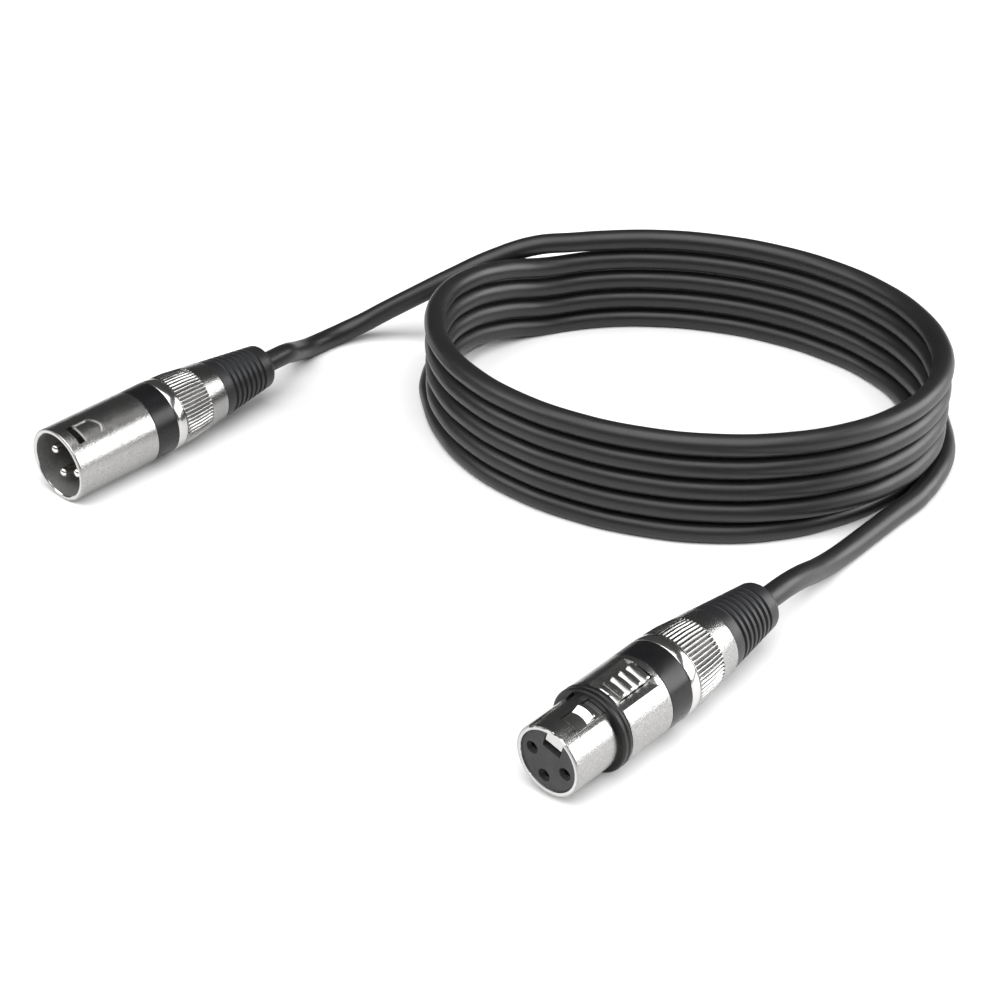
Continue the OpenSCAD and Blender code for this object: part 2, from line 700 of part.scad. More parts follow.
module cord_female_run() {
    exit_x = female_l + boot_end - female_nose;
    color("#1d1e20") tube(concat(
        [coil_start, coil_start - 2 * coil_heading(coil_first)],
        [for (p = female_arrive) [exit_x + p[0], p[1] - plug_span / 2, p[2]]],
        [[exit_x, -plug_span / 2, female_z], [female_l + jacket_z - female_nose, -plug_span / 2, female_z]]
    ), cord_r, 12);
}

echo(least_gap_between_turns = min(gaps));

male_shell();
male_insert();
male_pin_1();
male_pin_2();
male_pin_3();
male_coding_ring();
male_chuck();
male_nut();
male_boot();
male_wire_1();
male_wire_2();
male_wire_3();
female_shell();
female_insert();
female_socket_1();
female_socket_2();
female_socket_3();
female_latch();
female_latch_pin();
female_latch_spring();
female_ring();
female_coding_ring();
female_chuck();
female_nut();
female_boot();
female_wire_1();
female_wire_2();
female_wire_3();
cord_coil();
cord_male_run();
cord_female_run();
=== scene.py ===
import math

import bmesh
import bpy
from mathutils import Matrix, Vector


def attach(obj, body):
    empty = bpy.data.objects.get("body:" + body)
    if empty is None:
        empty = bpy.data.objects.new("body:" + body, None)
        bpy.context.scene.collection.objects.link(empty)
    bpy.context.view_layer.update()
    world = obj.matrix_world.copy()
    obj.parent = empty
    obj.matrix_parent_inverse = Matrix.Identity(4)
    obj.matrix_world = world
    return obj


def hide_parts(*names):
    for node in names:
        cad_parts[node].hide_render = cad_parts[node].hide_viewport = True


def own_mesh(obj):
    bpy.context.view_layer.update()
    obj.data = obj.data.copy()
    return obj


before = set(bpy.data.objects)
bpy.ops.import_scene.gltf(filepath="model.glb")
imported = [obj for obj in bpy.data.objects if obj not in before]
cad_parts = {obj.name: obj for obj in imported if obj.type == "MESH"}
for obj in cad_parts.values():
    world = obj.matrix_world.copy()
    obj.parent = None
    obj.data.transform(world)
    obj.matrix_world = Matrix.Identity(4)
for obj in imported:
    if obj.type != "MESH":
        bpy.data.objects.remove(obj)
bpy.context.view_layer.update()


# Male shell: a tube die cast in zinc and plated with satin nickel, open at the front.
# A catch slot and a D shaped recess are cut in its top, and a key rib stands in its mouth.
# Its sizes are in millimetres: radii from the plug's axis, and stations from its nose.
SHELL_R = 9.5
MOUTH_R = 8.25
REAR_R = 8.5
MALE_SHELL_L = 24.0
MOUTH_DEPTH = 13.8
CATCH = {"width": 5.5, "front": 2.9, "rear": 5.4}
DEE = {"rear": 11.1, "depth": 0.4}
KEY_ANGLE = math.radians(47)
ROUND_STEPS = 144


def plug_place(nose, side, height, roll):
    """Place of a plug: its axis is z and its latch side is x, in millimetres."""
    turned = Matrix.Rotation(math.radians(roll), 3, "X")
    across, down = turned @ Vector((0, 0, 1)), turned @ Vector((0, -1, 0))
    axes = Matrix((across, down, (1, 0, 0))).transposed().to_4x4()
    return Matrix.Translation(Vector((nose, side, height)) / 1000) @ axes @ Matrix.Scale(0.001, 4)


MALE_PLACE = plug_place(-31.5, 80, 9.5, 24)


def turn(outline, steps=ROUND_STEPS):
    """Spin an outline of (radius, station) points round the plug's axis."""
    bm = bmesh.new()
    corners = [bm.verts.new((radius, 0, station)) for radius, station in outline]
    ends = zip(corners, corners[1:] + corners[:1])
    sides = [bm.edges.new(pair) for pair in ends if pair[0].co.x + pair[1].co.x > 1e-6]
    bmesh.ops.spin(
        bm, geom=corners + sides, cent=(0, 0, 0), axis=(0, 0, 1), dvec=(0, 0, 0),
        angle=2 * math.pi, steps=steps, use_merge=True, use_duplicate=False,
    )
    bmesh.ops.remove_doubles(bm, verts=bm.verts, dist=1e-4)
    bmesh.ops.recalc_face_normals(bm, faces=bm.faces)
    return bm


def block(low, high, angle=0.0):
    """Box between two corners, turned round the plug's axis."""
    bm = bmesh.new()
    bmesh.ops.create_cube(bm, size=1)
    size = [b - a for a, b in zip(low, high)]
    bmesh.ops.scale(bm, vec=size, verts=bm.verts)
    bmesh.ops.translate(bm, vec=[(a + b) / 2 for a, b in zip(low, high)], verts=bm.verts)
    bmesh.ops.rotate(bm, cent=(0, 0, 0), matrix=Matrix.Rotation(angle, 3, "Z"), verts=bm.verts)
    return bm


def as_object(bm, name):
    mesh = bpy.data.meshes.new(name)
    bm.to_mesh(mesh)
    bm.free()
    piece = bpy.data.objects.new(name, mesh)
    bpy.context.scene.collection.objects.link(piece)
    return piece


def carve(body, tool, how="DIFFERENCE"):
    """Cut a body with a tool, or join them, and give the new body."""
    kept, knife = as_object(body, "carved"), as_object(tool, "knife")
    cut = kept.modifiers.new("cut", "BOOLEAN")
    cut.object, cut.operation, cut.solver = knife, how, "EXACT"
    drawn = kept.evaluated_get(bpy.context.evaluated_depsgraph_get())
    bm = bmesh.new()
    bm.from_mesh(drawn.to_mesh())
    for spent in (kept, knife):
        mesh = spent.data
        bpy.data.objects.remove(spent)
        bpy.data.meshes.remove(mesh)
    return bm


def ease_edges(bm, width, angle=32, segments=2):
    """Round the edges that are sharper than an angle."""
    bmesh.ops.remove_doubles(bm, verts=bm.verts, dist=0.03)
    sharp = [
        e for e in bm.edges
        if len(e.link_faces) == 2 and e.calc_face_angle(0) > math.radians(angle)
    ]
    bmesh.ops.bevel(
        bm, geom=sharp, offset=width, offset_type="OFFSET", segments=segments, profile=0.5,
        affect="EDGES", clamp_overlap=True, material=-1,
    )


def dress(bm, name, place, body, finishes, nodes=()):
    """Lay a finished mesh in its plug's place and hang it on its body."""
    bmesh.ops.transform(bm, matrix=place, verts=bm.verts)
    for face in bm.faces:
        face.smooth = True
    piece = as_object(bm, name)
    for finish in finishes:
        piece.data.materials.append(finish)
    piece.data.set_sharp_from_angle(angle=math.radians(38))
    even = piece.modifiers.new("even", "WEIGHTED_NORMAL")
    even.keep_sharp = True
    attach(piece, body)
    if nodes:
        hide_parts(*nodes)
    return piece


def effect_group(name, values, outputs):
    """Empty node group with named values in and named outputs, and its end nodes."""
    group = bpy.data.node_groups.new(name, "ShaderNodeTree")
    for label, value in values.items():
        group.interface.new_socket(label, in_out="INPUT", socket_type="NodeSocketFloat").default_value = value
    for label, kind in outputs.items():
        group.interface.new_socket(label, in_out="OUTPUT", socket_type=kind)
    entry, leave = group.nodes.new("NodeGroupInput"), group.nodes.new("NodeGroupOutput")
    return group, entry, leave


def speckle_group():
    """Fine sandy grain: Grain is its mask, and Clouds is the slow change under it."""
    group, entry, leave = effect_group(
        "fine_grain", {"Scale": 3000.0, "Clouding": 120.0, "Contrast": 0.35},
        {"Grain": "NodeSocketFloat", "Clouds": "NodeSocketFloat"},
    )
    place = group.nodes.new("ShaderNodeTexCoord")
    grain = group.nodes.new("ShaderNodeTexNoise")
    grain.inputs["Detail"].default_value = 2.5
    grain.inputs["Roughness"].default_value = 0.65
    clouds = group.nodes.new("ShaderNodeTexNoise")
    clouds.inputs["Detail"].default_value = 3.0
    spread = group.nodes.new("ShaderNodeMapRange")
    low = group.nodes.new("ShaderNodeMath")
    low.operation = "SUBTRACT"
    low.inputs[0].default_value = 0.5
    high = group.nodes.new("ShaderNodeMath")
    high.operation = "ADD"
    high.inputs[0].default_value = 0.5
    link = group.links.new
    link(place.outputs["Object"], grain.inputs["Vector"])
    link(place.outputs["Object"], clouds.inputs["Vector"])
    link(entry.outputs["Scale"], grain.inputs["Scale"])
    link(entry.outputs["Clouding"], clouds.inputs["Scale"])
    link(entry.outputs["Contrast"], low.inputs[1])
    link(entry.outputs["Contrast"], high.inputs[1])
    link(low.outputs[0], spread.inputs["From Min"])
    link(high.outputs[0], spread.inputs["From Max"])
    link(grain.outputs["Fac"], spread.inputs["Value"])
    link(spread.outputs["Result"], leave.inputs["Grain"])
    link(clouds.outputs["Fac"], leave.inputs["Clouds"])
    return group


FINE_GRAIN = speckle_group()


def grained(name, dark, light, rough, scale, clouding, contrast, depth, metallic=0.0, specular=0.5):
    """Finish whose colour, gloss and surface all follow one fine grain."""
    made = bpy.data.materials.new(name)
    made.use_nodes = True
    nodes, link = made.node_tree.nodes, made.node_tree.links.new
    shader = nodes["Principled BSDF"]
    shader.inputs["Metallic"].default_value = metallic
    shader.inputs["Specular IOR Level"].default_value = specular
    grain = nodes.new("ShaderNodeGroup")
    grain.node_tree = FINE_GRAIN
    grain.inputs["Scale"].default_value = scale
    grain.inputs["Clouding"].default_value = clouding
    grain.inputs["Contrast"].default_value = contrast
    tint = nodes.new("ShaderNodeMix")
    tint.data_type = "RGBA"
    tint.inputs[6].default_value = (*dark, 1)
    tint.inputs[7].default_value = (*light, 1)
    link(grain.outputs["Grain"], tint.inputs["Factor"])
    link(tint.outputs[2], shader.inputs["Base Color"])
    gloss = nodes.new("ShaderNodeMapRange")
    gloss.inputs["To Min"].default_value = rough[0]
    gloss.inputs["To Max"].default_value = rough[1]
    gloss.inputs["From Min"].default_value = 0.3
    gloss.inputs["From Max"].default_value = 0.7
    link(grain.outputs["Clouds"], gloss.inputs["Value"])
    link(gloss.outputs["Result"], shader.inputs["Roughness"])
    bump = nodes.new("ShaderNodeBump")
    bump.inputs["Strength"].default_value = 1.0
    bump.inputs["Distance"].default_value = depth
    link(grain.outputs["Grain"], bump.inputs["Height"])
    link(bump.outputs["Normal"], shader.inputs["Normal"])
    return made


SATIN_NICKEL = grained(
    "satin_nickel", (0.25, 0.248, 0.243), (0.42, 0.416, 0.408), (0.22, 0.26),
    scale=3000, clouding=300, contrast=0.2, depth=0.00002, metallic=1.0,
)
# Bright nickel: the polished plating of the nut flanges and the latch, the worn front rims, and a painted
# highlight on the walls round the shells' catch slot, D recess and latch windows.
BRIGHT_NICKEL_AND_HIGHLIGHT = grained(
    "bright_nickel_and_highlight", (0.52, 0.515, 0.505), (0.62, 0.615, 0.605), (0.15, 0.2),
    scale=1600, clouding=240, contrast=0.3, depth=0.000002, metallic=1.0,
)
DULL_NICKEL = grained(
    "dull_nickel", (0.20, 0.20, 0.20), (0.34, 0.34, 0.335), (0.6, 0.75),
    scale=3000, clouding=300, contrast=0.2, depth=0.00002, metallic=1.0,
)

male_shell = turn([
    (MOUTH_R + 0.25, 0), (SHELL_R - 0.45, 0), (SHELL_R - 0.13, 0.13), (SHELL_R, 0.45),
    (SHELL_R, MALE_SHELL_L - 0.2), (SHELL_R - 0.2, MALE_SHELL_L), (REAR_R, MALE_SHELL_L),
    (REAR_R, MOUTH_DEPTH), (MOUTH_R, MOUTH_DEPTH), (MOUTH_R, 0.25),
])
male_shell = carve(male_shell, block(
    (MOUTH_R - 1, -CATCH["width"] / 2, CATCH["front"]), (11, CATCH["width"] / 2, CATCH["rear"])))


def dee_tool():
    """Prism with a square front and a round rear, bored out so that its cut is shallow."""
    half, straight = CATCH["width"] / 2, DEE["rear"] - CATCH["width"] / 2
    bm = bmesh.new()
    arc = [math.radians(a) for a in range(-90, 91, 6)]
    rim = [(-half, CATCH["front"] + 0.3), (half, CATCH["front"] + 0.3)]
    rim += [(half * math.sin(-a), straight + half * math.cos(a)) for a in arc]
    face = bm.faces.new([bm.verts.new((7, y, z)) for y, z in rim])
    raised = bmesh.ops.extrude_face_region(bm, geom=[face])["geom"]
    bmesh.ops.translate(bm, vec=(5, 0, 0), verts=[v for v in raised if isinstance(v, bmesh.types.BMVert)])
    bmesh.ops.recalc_face_normals(bm, faces=bm.faces)
    core = turn([(0, 0), (SHELL_R - DEE["depth"], 0), (SHELL_R - DEE["depth"], 20), (0, 20)])
    return carve(bm, core)


male_shell = carve(male_shell, dee_tool())
key_rib = block((MOUTH_R - 0.6, -0.8, 1), (MOUTH_R + 0.3, 0.8, MOUTH_DEPTH), KEY_ANGLE)
male_shell = carve(male_shell, key_rib, "UNION")
ease_edges(male_shell, 0.14)


def polish(bm, wear_and_highlight):
    """Bright nickel for the faces that a test picks, for wear and for painted highlight, and a dull one for
    the bore.
    """
    bm.normal_update()
    for face in bm.faces:
        middle = face.calc_center_median()
        outward = face.normal.dot(Vector((middle.x, middle.y, 0)).normalized())
        if wear_and_highlight(middle, outward):
            face.material_index = 1
        elif outward < -0.8 and middle.length_squared - middle.z ** 2 < 8.6 ** 2:
            face.material_index = 2


# Bright nickel on the front rim stands for wear. On the walls round the catch slot and the D recess it is a
# painted highlight that outlines them.
def male_wear_and_highlight(middle, outward):
    dee_highlight_zone = middle.x > 8.6 and abs(middle.y) < 3.2 and 2.5 < middle.z < DEE["rear"] + 0.4
    on_rim = middle.z < 0.2 and math.hypot(middle.x, middle.y) < 9.1
    return on_rim or (dee_highlight_zone and outward < 0.93)


polish(male_shell, male_wear_and_highlight)
dress(
    male_shell, "shell_male", MALE_PLACE, "cable",
    [SATIN_NICKEL, BRIGHT_NICKEL_AND_HIGHLIGHT, DULL_NICKEL], ["male_shell"],
)


# Male contact carrier and pins: a moulded disc that closes the mouth at its back, and three
# turned pins with domed tips, silver plated, each ending behind it in a solder cup.
CONTACT_ANGLES = {1: math.pi / 2, 2: -math.pi / 2, 3: math.pi}
CONTACT_R = 4.4
SPIGOT_L = 3.0
CARRIER_BLACK = grained(
    "carrier_black", (0.020, 0.020, 0.021), (0.042, 0.042, 0.044), (0.42, 0.6),
    scale=3400, clouding=300, contrast=0.3, depth=0.00002, specular=0.35,
)
SILVER_PLATE = grained(
    "silver_plate", (0.72, 0.70, 0.66), (0.88, 0.86, 0.82), (0.14, 0.24),
    scale=1500, clouding=600, contrast=0.35, depth=0.000002, metallic=1.0,
)


def at_contact(bm, number):
    """Move a mesh from the plug's axis to one of the three contacts."""
    angle = CONTACT_ANGLES[number]
    bmesh.ops.translate(
        bm, vec=(CONTACT_R * math.cos(angle), CONTACT_R * math.sin(angle), 0), verts=bm.verts)
    return bm


male_carrier = turn([
    (0, MOUTH_DEPTH), (REAR_R - 0.1, MOUTH_DEPTH), (REAR_R - 0.1, MALE_SHELL_L - SPIGOT_L - 0.2),
    (6.6, MALE_SHELL_L - SPIGOT_L - 0.2), (6.6, MALE_SHELL_L), (0, MALE_SHELL_L),
])
for number in CONTACT_ANGLES:
    drill = turn([(0, 12), (1.55, 12), (1.55, 30), (0, 30)], 48)
    male_carrier = carve(male_carrier, at_contact(drill, number))
    counterbore = turn([(0, 12), (2.0, 12), (1.6, MOUTH_DEPTH + 0.35), (0, MOUTH_DEPTH + 0.35)], 48)
    male_carrier = carve(male_carrier, at_contact(counterbore, number))
dress(
    male_carrier, "carrier_male", MALE_PLACE, "cable",
    [CARRIER_BLACK], ["male_insert"],
)

for number in CONTACT_ANGLES:
    tip = [
        (1.2 * math.sin(math.radians(a)), 2.9 - 0.9 * math.cos(math.radians(a)))
        for a in range(0, 91, 10)
    ]
    pin = turn(tip + [
        (1.2, MOUTH_DEPTH), (1.5, MOUTH_DEPTH), (1.5, 28), (0.85, 28), (0.85, 25.5), (0, 25.5),
    ], 40)
    ease_edges(at_contact(pin, number), 0.06)
    dress(
        pin, f"pin_{number}", MALE_PLACE, "cable",
        [SILVER_PLATE], [f"male_pin_{number}"],
    )


# Coding rings: a plain black moulded ring between each shell and its nut.
# Owners change its colour to tell leads apart.
FEMALE_PLACE = plug_place(-35.5, -80, 9.6, 14)
FEMALE_SHELL_L = 28.2
TAILS = {
    "male": MALE_PLACE @ Matrix.Translation((0, 0, MALE_SHELL_L)),
    "female": FEMALE_PLACE @ Matrix.Translation((0, 0, FEMALE_SHELL_L)),
}
RING_L = 6.4
RING_BLACK = grained(
    "ring_black", (0.004, 0.004, 0.0045), (0.008, 0.008, 0.009), (0.24, 0.36),
    scale=2400, clouding=260, contrast=0.3, depth=0.000006, specular=0.3,
)
for plug, place in TAILS.items():
    ring = turn([(8.5, 0), (9.45, 0), (9.45, RING_L), (8.5, RING_L)])
    ease_edges(ring, 0.15)
    dress(
        ring, f"coding_ring_{plug}", place, "cable",
        [RING_BLACK], [f"{plug}_coding_ring"],
    )


# Nuts: cast zinc, nickel plated. A threaded spigot goes into the shell, a polished flange
# closes on the coding ring, a fluted grip swells a little, and a satin taper meets the boot.
FLANGE_Z, GRIP_Z, TAPER_Z, NUT_END = 6.4, 9.2, 18.8, 24.0
LIP_Z, CHAMBER_Z, WEB_Z, CONE_Z = 22.3, 17.9, 17.1, 12.6
FLUTES, FLUTE_DEPTH, FLUTE_END = 56, 0.35, 0.3
# Much darker nickel for the bottoms of the flutes: painted shade in the grooves.
FLUTE_SHADE_NICKEL = grained(
    "flute_painted_shade", (0.05, 0.05, 0.05), (0.11, 0.11, 0.11), (0.34, 0.48),
    scale=2600, clouding=160, contrast=0.25, depth=0.00001, metallic=1.0,
)


def grip_radius(station):
    """The grip's swelling line, from the flange to the taper."""
    middle = GRIP_Z + (TAPER_Z - GRIP_Z) / 2
    if station < middle:
        return 9.4 - 0.225 * (station - GRIP_Z) / (middle - GRIP_Z)
    return 9.175 - 0.625 * (station - middle) / (TAPER_Z - middle)


def nut_mesh():
    """Nut spun from its outline, its grip waved in and out to make the flutes."""
    first, last = GRIP_Z + FLUTE_END, TAPER_Z - FLUTE_END
    rows = [first, first + 0.12, first + 0.3, *(first + (last - first) * i / 6 for i in range(1, 6))]
    rows += [last - 0.3, last - 0.12, last]
    bm = turn([
        (7, -SPIGOT_L), (8.1, -SPIGOT_L), (8.4, 0.3 - SPIGOT_L), (8.4, FLANGE_Z),
        (9.28, FLANGE_Z), (9.43, FLANGE_Z + 0.07), (9.5, FLANGE_Z + 0.22),
        (9.5, GRIP_Z - 0.22), (9.43, GRIP_Z - 0.07), (9.28, GRIP_Z), (9.12, GRIP_Z + 0.02),
        (9.12, GRIP_Z + 0.12), (grip_radius(GRIP_Z + 0.2), GRIP_Z + 0.2),
        *[(grip_radius(station), station) for station in rows],
        (8.55, TAPER_Z), (8.12, NUT_END - 0.25), (8.05, NUT_END - 0.06), (7.88, NUT_END),
        (6.2, NUT_END), (6.2, LIP_Z), (7, LIP_Z), (7, CHAMBER_Z), (4.5, CHAMBER_Z),
        (4.5, WEB_Z), (7, CONE_Z),
    ], FLUTES * 12)
    for vert in bm.verts:
        radius = math.hypot(vert.co.x, vert.co.y)
        inside = min(vert.co.z - first, last - vert.co.z) / 0.3
        if radius > 8 and inside > 0:
            wave = 0.5 - 0.5 * math.cos(FLUTES * math.atan2(vert.co.y, vert.co.x))
            sunk = 1 - FLUTE_DEPTH * wave * min(1, inside) / radius
            vert.co.x, vert.co.y = vert.co.x * sunk, vert.co.y * sunk
    for face in bm.faces:
        middle = face.calc_center_median()
        outside = math.hypot(middle.x, middle.y) > 8
        if outside and FLANGE_Z - 0.05 < middle.z < GRIP_Z + 0.15:
            face.material_index = 1
        # The flute bottoms take the third slot, the darker nickel of painted shade.
        wave = 0.5 - 0.5 * math.cos(FLUTES * math.atan2(middle.y, middle.x))
        if outside and first < middle.z < last and wave > 0.75:
            face.material_index = 2
    return bm


for plug, place in TAILS.items():
    dress(
        nut_mesh(), f"nut_{plug}", place, f"{plug}_nut",
        [SATIN_NICKEL, BRIGHT_NICKEL_AND_HIGHLIGHT, FLUTE_SHADE_NICKEL], [f"{plug}_nut"],
    )


# Boots: soft black rubber, snapped into the nut by a flange. Seven ring grooves let the boot
# bend with the cord.
BOOT_Z, BOOT_END = 24.1, 42.7
ROUND_L = 1.6
GROOVES, GROOVE_PITCH = 7, 1.8
GROOVE_SHAPE = [
    (-0.56, 0), (-0.48, 0.05), (-0.42, 0.2), (-0.34, 0.44), (-0.18, 0.6),
    (0, 0.64), (0.18, 0.6), (0.34, 0.44), (0.42, 0.2), (0.48, 0.05), (0.56, 0),
]
BOOT_RUBBER = grained(
    "boot_rubber", (0.008, 0.008, 0.009), (0.014, 0.0145, 0.016), (0.38, 0.48),
    scale=2800, clouding=200, contrast=0.3, depth=0.000012, specular=0.4,
)


def boot_radius(station):
    return 7.95 - 2.05 * (station - BOOT_Z) / (BOOT_END - ROUND_L - BOOT_Z)


def boot_mesh():
    outline = [
        (3.05, CHAMBER_Z + 0.1), (6.9, CHAMBER_Z + 0.1), (6.9, LIP_Z - 0.1), (6.1, LIP_Z - 0.1),
        (6.1, BOOT_Z), (7.65, BOOT_Z), (7.86, BOOT_Z + 0.09), (7.92, BOOT_Z + 0.3),
    ]
    for i in range(GROOVES):
        middle = BOOT_Z + 3.4 + i * GROOVE_PITCH
        for step, depth in GROOVE_SHAPE:
            outline.append((boot_radius(middle + step) - depth, middle + step))
    for a in range(0, 91, 15):
        turned = math.radians(a)
        outline.append((4.3 + 1.6 * math.cos(turned), BOOT_END - ROUND_L + ROUND_L * math.sin(turned)))
    outline += [(3.35, BOOT_END), (3.05, BOOT_END - 0.3)]
    return turn(outline, 128)


for plug, place in TAILS.items():
    dress(
        boot_mesh(), f"boot_{plug}", place, f"{plug}_boot",
        [BOOT_RUBBER], [f"{plug}_boot"],
    )


# Clamps and cores, hidden in the nuts: a slotted plastic chuck grips the jacket, and three
# insulated cores run from the jacket's end to the solder cups.
CLAMP_BLACK = grained(
    "clamp_black", (0.025, 0.025, 0.028), (0.045, 0.045, 0.05), (0.4, 0.5),
    scale=2000, clouding=300, contrast=0.3, depth=0.00001,
)
CORE_TINTS = {
    1: ("grey", (0.36, 0.36, 0.37)),
    2: ("red", (0.36, 0.02, 0.015)),
    3: ("white", (0.68, 0.67, 0.63)),
}
CORE_R = 0.7
JACKET_Z = 9.0
for plug in TAILS:
    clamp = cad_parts[f"{plug}_chuck"]
    clamp.data.materials.clear()
    clamp.data.materials.append(CLAMP_BLACK)


def round_cord(name, points, radius, finish):
    """Open smooth curve through points in metres, with a round section."""
    line = bpy.data.curves.new(name, "CURVE")
    line.dimensions = "3D"
    line.bevel_depth = radius
    line.bevel_resolution = 5
    line.resolution_u = 8
    line.use_fill_caps = True
    spline = line.splines.new("BEZIER")
    spline.bezier_points.add(len(points) - 1)
    for knot, point in zip(spline.bezier_points, points):
        knot.co = point
        knot.handle_left_type = knot.handle_right_type = "AUTO"
    line.materials.append(finish)
    piece = bpy.data.objects.new(name, line)
    bpy.context.scene.collection.objects.link(piece)
    return piece


for number, (tint_name, tint) in CORE_TINTS.items():
    dim = tuple(0.8 * part for part in tint)
    sleeve = grained(
        f"core_{tint_name}", dim, tint, (0.3, 0.42), scale=1500, clouding=200, contrast=0.35, depth=0.000003)
    turned = Matrix.Rotation(CONTACT_ANGLES[number], 4, "Z")
    route = [(4.4, 1), (4.4, 3.5), (3.9, 4.7), (1.8, 7.1), (1.204, 8.1), (1.204, JACKET_Z)]
    for plug, place in TAILS.items():
        points = [place @ turned @ Vector((x, 0, z)) for x, z in route]
        core = round_cord(f"core_{plug}_{number}", points, CORE_R / 1000, sleeve)
        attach(core, "cable")
        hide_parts(f"{plug}_wire_{number}")


# Female shell: die cast and plated like the male one. Its barrel enters the mating plug, and
# windows let the latch through, with a flat each side of the push tab for a fingertip.
BARREL_R, BARREL_BORE_R = 8.1, 7.0
BARREL_L, RING_END, WEB_END = 12.5, 15.2, 16.7
TAB_Z, TAB_END = 17.0, 26.3
female_shell = turn([
    (BARREL_BORE_R, 0.3), (BARREL_BORE_R + 0.08, 0.09), (BARREL_BORE_R + 0.3, 0), (BARREL_R - 0.45, 0),
    (BARREL_R - 0.13, 0.13), (BARREL_R, 0.45), (BARREL_R, BARREL_L), (BARREL_R - 0.08, BARREL_L),
    (BARREL_R - 0.08, RING_END), (SHELL_R - 0.45, RING_END), (SHELL_R - 0.13, RING_END + 0.13),
    (SHELL_R, RING_END + 0.45), (SHELL_R, FEMALE_SHELL_L - 0.2), (SHELL_R - 0.2, FEMALE_SHELL_L),
    (REAR_R, FEMALE_SHELL_L), (REAR_R, WEB_END), (BARREL_BORE_R, WEB_END),
])
windows = [
    ((6, -2.3, 4.2), (8.3, 2.3, 18)),
    ((6, -2.7, TAB_Z - 0.4), (19, 2.7, TAB_END + 0.3)),
]
for low, high in windows:
    female_shell = carve(female_shell, block(low, high))
key_groove = block((BARREL_R - 0.5, -0.7, -1), (BARREL_R + 6, 0.7, RING_END), -KEY_ANGLE)
female_shell = carve(female_shell, key_groove)
for side in (-1, 1):
    flat_sides = sorted((side * 2.6, side * 5.7))
    female_shell = carve(female_shell, block(
        (SHELL_R - 1.2, flat_sides[0], RING_END - 0.1), (12, flat_sides[1], TAB_END + 0.2)))
ease_edges(female_shell, 0.12)


# Bright nickel on the barrel's front rim stands for wear. On the walls of the latch windows and the other
# faces at the latch that do not face straight out, it is a painted highlight.
def female_wear_and_highlight(middle, outward):
    on_rim = middle.z < 0.2 and math.hypot(middle.x, middle.y) < 7.8
    return on_rim or (middle.x > 6 and abs(middle.y) < 2.75 and outward < 0.93)


polish(female_shell, female_wear_and_highlight)
dress(
    female_shell, "shell_female", FEMALE_PLACE, "cable",
    [SATIN_NICKEL, BRIGHT_NICKEL_AND_HIGHLIGHT, DULL_NICKEL], ["female_shell"],
)


# Rubber ring: a black ring with two beads, stretched into a seat behind the barrel. It takes
# up the play between the plugs.
RING_RUBBER = grained(
    "ring_rubber", (0.004, 0.004, 0.004), (0.009, 0.009, 0.0095), (0.3, 0.44),
    scale=2600, clouding=260, contrast=0.3, depth=0.000008, specular=0.3,
)
bead = [
    (9.1 + 0.5 * math.sin(math.radians(a)), BARREL_L + 0.65 - 0.65 * math.cos(math.radians(a)))
    for a in range(0, 151, 15)
]
mirrored = [(radius, BARREL_L + RING_END - station) for radius, station in reversed(bead)]
rubber_ring = turn([(8.07, BARREL_L)] + bead + mirrored + [(8.07, RING_END)])
dress(rubber_ring, "rubber_ring", FEMALE_PLACE, "cable", [RING_RUBBER], ["female_ring"])


# Female carrier and sockets: a moulded plug fills the barrel, with three entry holes for the
# pins, and a slot in which the latch lies.
def from_cad(node, place):
    """Copy of a solid's mesh in its plug's frame, joined up and with its flat faces whole."""
    bm = bmesh.new()
    bm.from_mesh(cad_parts[node].data)
    bmesh.ops.remove_doubles(bm, verts=bm.verts, dist=1e-6)
    bmesh.ops.transform(bm, matrix=place.inverted(), verts=bm.verts)
    bmesh.ops.dissolve_limit(bm, angle_limit=math.radians(0.8), verts=bm.verts, edges=bm.edges)
    return bm


female_carrier = from_cad("female_insert", FEMALE_PLACE)
ease_edges(female_carrier, 0.1)
dress(
    female_carrier, "carrier_female", FEMALE_PLACE, "cable",
    [CARRIER_BLACK], ["female_insert"],
)
for number in CONTACT_ANGLES:
    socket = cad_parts[f"female_socket_{number}"]
    socket.data.materials.clear()
    socket.data.materials.append(SILVER_PLATE)


# Push latch: a cast lever, polished by its plating, on a steel pin behind the rubber ring.
# Its hook stands above the barrel, and a coil spring lifts its ribbed tab.
TAB_FLOOR_X, RIB_GAP_DEPTH, LAST_RIB_Z = 9.0, 0.45, 25.0
latch = from_cad("female_latch", FEMALE_PLACE)
for vert in latch.verts:
    if abs(vert.co.x - TAB_FLOOR_X) < 0.02 and TAB_Z + 0.1 < vert.co.z < LAST_RIB_Z:
        vert.co.x -= RIB_GAP_DEPTH
ease_edges(latch, 0.06)
dress(latch, "push_latch", FEMALE_PLACE, "latch", [BRIGHT_NICKEL_AND_HIGHLIGHT], ["female_latch"])
SPRING_STEEL = grained(
    "spring_steel", (0.42, 0.42, 0.42), (0.56, 0.56, 0.56), (0.22, 0.34),
    scale=1800, clouding=300, contrast=0.3, depth=0.000003, metallic=1.0,
)
latch_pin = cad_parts["female_latch_pin"]
latch_pin.data.materials.clear()
latch_pin.data.materials.append(SPRING_STEEL)

